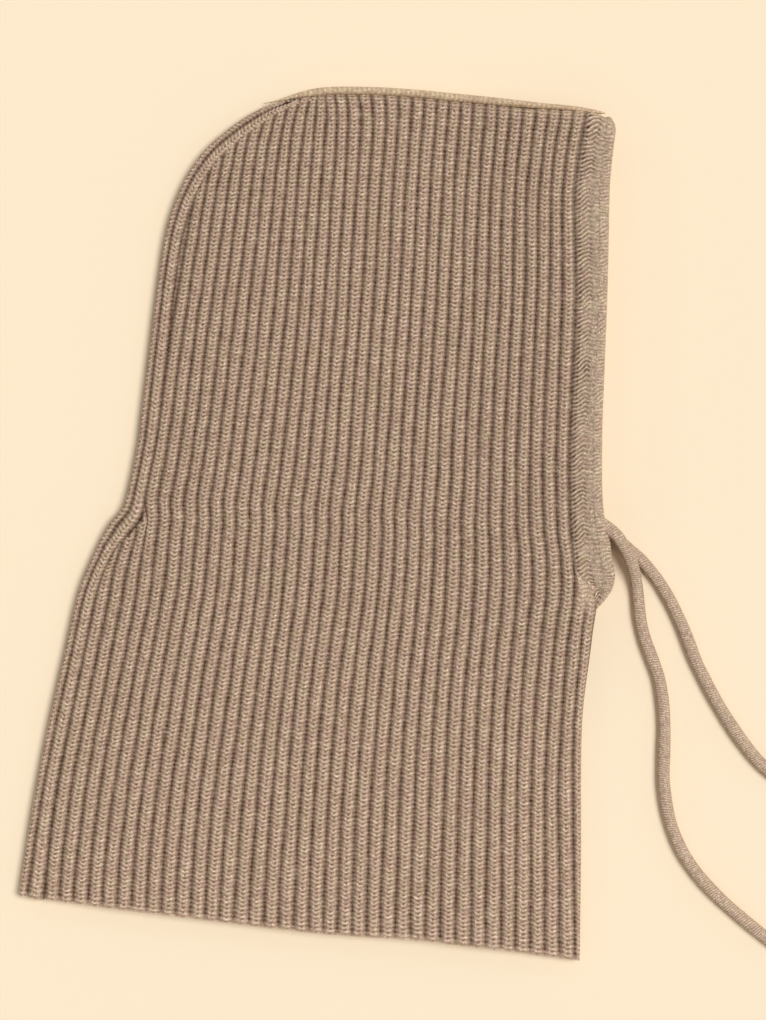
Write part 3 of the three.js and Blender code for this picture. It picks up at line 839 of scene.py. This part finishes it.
def make_back_ribs():
    """Two ribs on each layer, carried along the back fold. A section is the fold's half circle and a flat
    stretch on either side; the relief goes in along its own normal."""
    length = run_of(np.stack([BACK_X, BACK_Y], 1))
    stitches = 2 * round(length[-1] / STITCH / 2)
    along = np.linspace(0, length[-1], 2 * stitches + 1)
    x, y, up = [np.interp(along, length, values) for values in (BACK_X, BACK_Y, ROWS["up"])]
    starts = np.stack([x, y], 1)
    ahead = np.gradient(starts, axis=0)
    ahead = np.stack([evened(ahead[:, k], 15) for k in range(2)], 1)
    ahead /= np.linalg.norm(ahead, axis=1)[:, None]
    inward = np.stack([ahead[:, 1], -ahead[:, 0]], 1)
    # Its width at each place is the least distance to the line where the pair ends
    end_x = BACK_X + EDGE_STRIP * ROWS["strip"]
    ends = np.stack([end_x, height_of(ROWS["up"], end_x)], 1)
    width = np.sqrt(((starts[:, None, :] - ends[None, :, :]) ** 2).sum(2).min(1))
    width = evened(width, 21)[:, None]
    across = np.linspace(1, -1, 2 * HALF_SECTION + 1)[None, :]
    share = np.abs(across)
    layer = np.sign(across)
    bend = FOLD_HEIGHT / 2
    arc = share * arc_of(width, bend)
    reach = reach_of(arc, bend)
    angle = np.minimum(arc / bend, pi / 2)
    t = (2 * share) % 1
    phase = np.broadcast_to(np.arange(len(x))[:, None] / 2, arc.shape)
    depth, dark = stitch_relief(t, phase)
    from_end = np.minimum(phase, phase[::-1]) * STITCH
    at_end = 1 - smooth(from_end, 0, HEM_SMOOTH)
    depth = depth * (1 - 0.7 * at_end) + HEM_ROUND * (1 - quarter_circle(from_end / HEM_ROUND))
    dark = dark * (1 - 0.8 * at_end)
    u = up[:, None]
    loft = loft_of(x[:, None] + reach, u, reach)
    half = loft / 2 * quarter_circle(reach / (loft / 2))
    lift = rise_of(t) * STITCH * lerp(HEM_LIFT, 1, smooth(phase * STITCH, 0, 6 * STITCH))
    flat = reach + depth * np.cos(angle)
    z = loft / 2 + layer * (half - depth * np.sin(angle))
    plan = starts[:, None, :] + flat[..., None] * inward[:, None, :] + lift[..., None] * ahead[:, None, :]
    outer = np.concatenate([plan, z[..., None]], -1)
    # The inside is coarser, and a wall deeper
    few = slice(None, None, 4), slice(None, None, 8)
    inner_reach = WALL + np.maximum(width[::4] - WALL, 0) * share[:, ::8]
    inner_loft = loft_of(x[::4, None] + inner_reach, u[::4], inner_reach)
    radius = inner_loft / 2 - WALL
    inner_half = radius * quarter_circle(np.maximum(inner_reach - WALL, 0) / radius)
    inner_z = inner_loft / 2 + layer[:, ::8] * inner_half
    inner_plan = starts[::4, None, :] + inner_reach[..., None] * inward[::4, None, :]
    inner = np.concatenate([inner_plan, inner_z[..., None]], -1)
    uv = np.stack([np.broadcast_to(2 * across, phase.shape), phase], -1)
    strip = make_shell("centre_back_ribs", outer, inner, uv, dark, few, True)
    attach(strip, "root")
    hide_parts("knit_body")


make_back_ribs()


# Face band

BAND_ROW = 0.45 * MM  # distance of the rows of points along it
STROKE_RISE = 1.25  # in stitches
LEVEL_STITCH = 1.95 * MM  # distance of the fine strokes over the drawcord's bulge

# Places across the band, as shares of its width
GROOVE = 0.06
GROOVE_WIDE = 0.08
HOLES = 0.2
STROKE_END = 0.46
LEVEL_START = 0.72


def band_line(up, layer):
    """Middle of the band beside the opening, for one layer. Below the chin it closes to a tip that laps
    over the front fold."""
    row = read(ROWS, "up", up)
    seam, lap = FRONT_X + HEAD_DEPTH * row["seam"], front_fold(row, up) - TIP_LAP
    x = (seam + lap + np.hypot(seam - lap, TIP_SOFT)) / 2
    y = height_of(up, x)
    loft = loft_of(x, up, RISE)
    closed = BAND_THICKNESS / 2 * quarter_circle((y - y[0]) / TIP_ROUND) + TIP_PROUD
    away = lerp(closed, loft / 2 - BAND_THICKNESS / 2, smooth(up, CHIN, BAND_OPEN))
    return np.stack([x, y, loft / 2 + layer * away], 1)


def band_frames():
    """Rows of the band from the right chin over the top to the left chin: its middle, width and turn."""
    radius = (FACE_HEIGHT - BAND_THICKNESS) / 2
    centre = crown_line(FRONT_X) - FACE_HEIGHT / 2
    from_hem = crown_line(FRONT_X) - hem_line(FRONT_X)
    up = np.linspace(EDGE["up"][0], 1 - FACE_HEIGHT / 2 / from_hem, 400)
    angle = np.linspace(0, pi, 61)[1:-1]
    over_y = centre + radius * np.sin(angle)
    over_up = lerp(up[-1], 1, np.sin(angle))
    over_x = FRONT_X + HEAD_DEPTH * np.interp(over_up, ROWS["up"], ROWS["seam"])
    over = np.stack([over_x, over_y, FACE_HEIGHT / 2 + radius * np.cos(angle)], 1)
    middle = np.concatenate([band_line(up, 1), over, band_line(up, -1)[::-1]])
    all_up = np.concatenate([up, over_up, up[::-1]])
    width = (FRONT_X - middle[:, 0]) / BAND_WIDTH + np.interp(all_up, EDGE["up"], EDGE["reach"])
    turns = np.concatenate([0 * up, angle, 0 * up + pi])
    length = run_of(middle)
    along = np.linspace(0, length[-1], int(round(length[-1] / BAND_ROW)) + 1)
    place = np.stack([np.interp(along, length, middle[:, k]) for k in range(3)], 1)
    return along, place, np.interp(along, length, width), np.interp(along, length, turns)


def top_share(y):
    """1 where the band turns over the crown, fading to 0 a little way down its front."""
    return smooth(y, crown_line(FRONT_X) - TOP_REACH, crown_line(FRONT_X) - FACE_HEIGHT / 2)


def band_relief(a, s):
    """Depth, phase and darkness over the band's width a (0 at the seam line, 1 at the outer edge) and
    its length s; the darkness is painted shade in the groove, holes and valleys, and a darker tone over the
    dull column. A line of holes has strokes that rise steeply from it, then comes a dull column of small
    bumps behind a second, uneven line of holes, and then fine strokes over the drawcord's bulge."""
    steep = STROKE_RISE * np.clip((a - HOLES) / (STROKE_END - HOLES), 0, 1)
    arm = 0.5 * np.clip((HOLES - a) / HOLES, 0, 1)
    bumps = 0.45 * np.clip((a - STROKE_END) / 0.1, 0, 1)
    wander = 0.3 * np.sin(s / (7 * MM) + 5 * a) + 0.22 * np.sin(s / (2.9 * MM) + 11 * a)
    stitch = s / STITCH - steep + arm + bumps + 0.6 * wander
    level = s / LEVEL_STITCH - 1.6 * np.clip(a - LEVEL_START, 0, 1) + 1.4 * wander
    phase = np.where(a < LEVEL_START, stitch, level)
    valley = valley_of(phase)
    strokes = smooth(a, GROOVE, HOLES) * (1 - smooth(a, STROKE_END - 0.02, STROKE_END + 0.06))
    outer = smooth(a, LEVEL_START - 0.12, LEVEL_START + 0.1)
    uneven = 0.5 + 0.5 * np.sin(s / (5.3 * MM)) * np.sin(s / (11 * MM) + 1)
    strokes = strokes * (0.7 + 0.6 * uneven)
    hole = valley * bell(a - HOLES, 0.032)
    second = valley * uneven * bell(a - STROKE_END - 0.06, 0.035)
    groove = bell(a - GROOVE, GROOVE_WIDE)
    relief = 0.15 + 0.4 * strokes + 0.2 * outer
    depth = MM * (relief * valley + 0.3 * hole + 0.3 * second + 0.5 * groove)
    dull = smooth(a, STROKE_END, STROKE_END + 0.1) * (1 - outer)
    shade = (0.25 + 0.4 * strokes + 0.22 * outer) * valley
    dark = np.clip(0.7 * groove + 0.4 * hole + 0.6 * second + 0.2 * dull + shade, 0, 1)
    return depth, phase, dark


def band_section():
    """The closed section: places across the band and shares of the half thickness, over the outside in
    fine steps and back along the inside of the casing in coarser ones. outside is 1 or a duller 0.35."""
    flat = np.linspace(0, TUNNEL_PLACE, 31)
    quarter = np.linspace(0, pi / 2, 9)[1:]
    out_a = np.concatenate([flat, TUNNEL_PLACE + (1 - TUNNEL_PLACE) * np.sin(quarter)])
    out_half = np.concatenate([np.interp(flat, HALVES["across"], HALVES["half"]), np.cos(quarter)])
    in_a = np.concatenate([out_a[-2:30:-1], flat[30::-3]])
    in_half = -np.interp(in_a, out_a, out_half)
    a = np.concatenate([out_a, in_a, out_a[:1]])[None, :]
    half = np.concatenate([out_half, in_half, out_half[:1]])[None, :]
    outside = np.concatenate([np.ones(len(out_a)), 0.35 * np.ones(len(in_a)), [1]])[None, :]
    return a, half, outside


def make_band():
    """The band's section is carried along the opening. Its upper half shows the stitches of the outside,
    its lower half the plain inside of the casing."""
    along, place, width, turn = band_frames()
    a, half, outside = band_section()
    s = along[:, None]
    depth, phase, dark = band_relief(a, s)
    depth = depth * outside
    at_top = top_share(place[:, 1:2])
    half = np.sign(half) * lerp(np.abs(half), np.minimum(np.abs(half), TOP_HALF), at_top)
    closing = quarter_circle(np.minimum(s, along[-1] - s) / TIP_ROUND)
    thick = (half * BAND_THICKNESS / 2 - np.sign(half) * depth) * closing
    wide = width[:, None]
    # Where the casing is pulled wider, its outer part gives and the slanting column keeps its width
    across = a * np.minimum(wide, 1) + np.maximum(wide - 1, 0) * smooth(a, 0.4, 0.95)
    across = across * BAND_WIDTH - depth * smooth(a, 0.85, 1)
    out = turn[:, None]
    x = place[:, :1] - BAND_LAP * (1 - a) + across
    y = place[:, 1:2] + thick * np.sin(out) + (TOP_RAISE - TOP_SLANT * across) * at_top
    z = place[:, 2:] + thick * np.cos(out)
    uv = np.stack([np.broadcast_to(a * 4, phase.shape), phase], -1)
    # The inside of the casing gets half the painted shade
    dark = dark * np.where(outside < 1, 0.5, 1)
    band = make_tube("knitted_face_band", np.stack([x, y, z], -1), uv, dark, BAND_WOOL)
    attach(band, "root")
    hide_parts("face_band")


make_band()


# Crown seam


def seam_path():
    """Middle of the seam: out of the end of the centre-back pair, along the crown and over the top of the
    face band to its corner."""
    start = BACK_X[-1] - SEAM_START
    front = FRONT_X + HEAD_DEPTH * SECTIONS["seam"][-1]
    x = np.linspace(start, FRONT_X + BAND_WIDTH * BAND_EDGE["reach"][-1] - SEAM_END, 560)
    below = np.where(x < BACK_X[-1], np.interp(x, BACK_X, BACK_Y), crown_line(x))
    below = below - TOP_SLANT * np.maximum(x - front, 0)
    raised = SEAM_OUT * smooth(x, start, start + SEAM_TAPER) * thinning(x)
    return np.stack([x, evened(below + raised, 61, 61), loft_of(x, 1, 0) / 2], 1)


def make_seam():
    """The linked edge rolls over along the crown: a soft tube whose ridges fork at its middle like the
    links of a chain, thin at its start and fading out at the corner."""
    path = seam_path()
    turn = np.linspace(0, 2 * pi, 25)[None, :]
    s = run_of(path)[:, None]
    fork = np.abs(((turn / pi) % 1) - 0.5)
    phase = s / SEAM_LINK + 0.9 * fork
    valley = valley_of(phase)
    taper = (smooth(s, 0, SEAM_TAPER) * 0.9 + 0.1) * thinning(path[:, :1])
    end = np.minimum(s / SEAM_TIP, (s[-1] - s) / SEAM_FADE)
    size = taper * quarter_circle(end) * (1 - 0.06 * valley)
    points = tube_points(path, size * SEAM_RISE * np.cos(turn), size * SEAM_HALF * np.sin(turn))
    uv = np.stack([np.broadcast_to(turn / pi, phase.shape), phase], -1)
    # Painted shade in the valleys between the links
    seam = make_tube("linked_crown_seam", points, uv, 0.15 * valley, SEAM_WOOL)
    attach(seam, "root")
    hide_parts("crown_seam")


make_seam()


def make_cord_in_band():
    """The hidden stretch of the drawcord, slimmer in its tunnel, from slit to slit."""
    _, place, width, _ = band_frames()
    middle = place + np.stack([TUNNEL_PLACE * BAND_WIDTH * width, 0 * width, 0 * width], 1)
    inside = (middle[:, 1] > HIDDEN_FROM).nonzero()[0][::12]
    route = middle[inside] / MM
    cord, _, _ = make_cord("cord_inside_band", route, CORD_WOOL, CORD_IN_TUNNEL, sides=10, step=1.2 * MM)
    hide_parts("drawcord_in_casing")


make_cord_in_band()


# Floor and light


def make_floor():
    """A plain square of paper round the hood, with hardly any mottling."""
    mesh = bpy.data.meshes.new("floor")
    corners = [(x * FLOOR_HALF, y * FLOOR_HALF, 0) for x, y in ((-1, -1), (1, -1), (1, 1), (-1, 1))]
    mesh.from_pydata(corners, [], [(0, 1, 2, 3)])
    floor = bpy.data.objects.new("floor", mesh)
    bpy.context.scene.collection.objects.link(floor)
    w = Wiring("floor_paper")
    place = w.node("TexCoord").outputs["Object"]
    first, second = (linear(*colour) for colour in FLOOR_COLOURS)
    w.put(w.shader.inputs["Base Color"], w.mix(w.noise(place, 3.0), first, second))
    w.shader.inputs["Roughness"].default_value = 1.0
    w.shader.inputs["Specular IOR Level"].default_value = 0.0
    mesh.materials.append(w.material)


def make_light():
    """A soft sun from above, and white light from all sides."""
    sun = bpy.data.lights.new("key_light", "SUN")
    sun.energy = SUN_STRENGTH
    sun.angle = SUN_ANGLE
    lamp = bpy.data.objects.new("key_light", sun)
    lamp.rotation_euler = Vector(SUN_FROM).to_track_quat("Z", "Y").to_euler()
    bpy.context.scene.collection.objects.link(lamp)
    world = bpy.data.worlds.new("room_light")
    world.use_nodes = True
    sky = world.node_tree.nodes["Background"]
    sky.inputs[0].default_value = (1.0, 1.0, 1.0, 1)
    sky.inputs[1].default_value = ROOM_STRENGTH
    bpy.context.scene.world = world


make_floor()
make_light()
bpy.context.scene.view_settings.view_transform = "Standard"
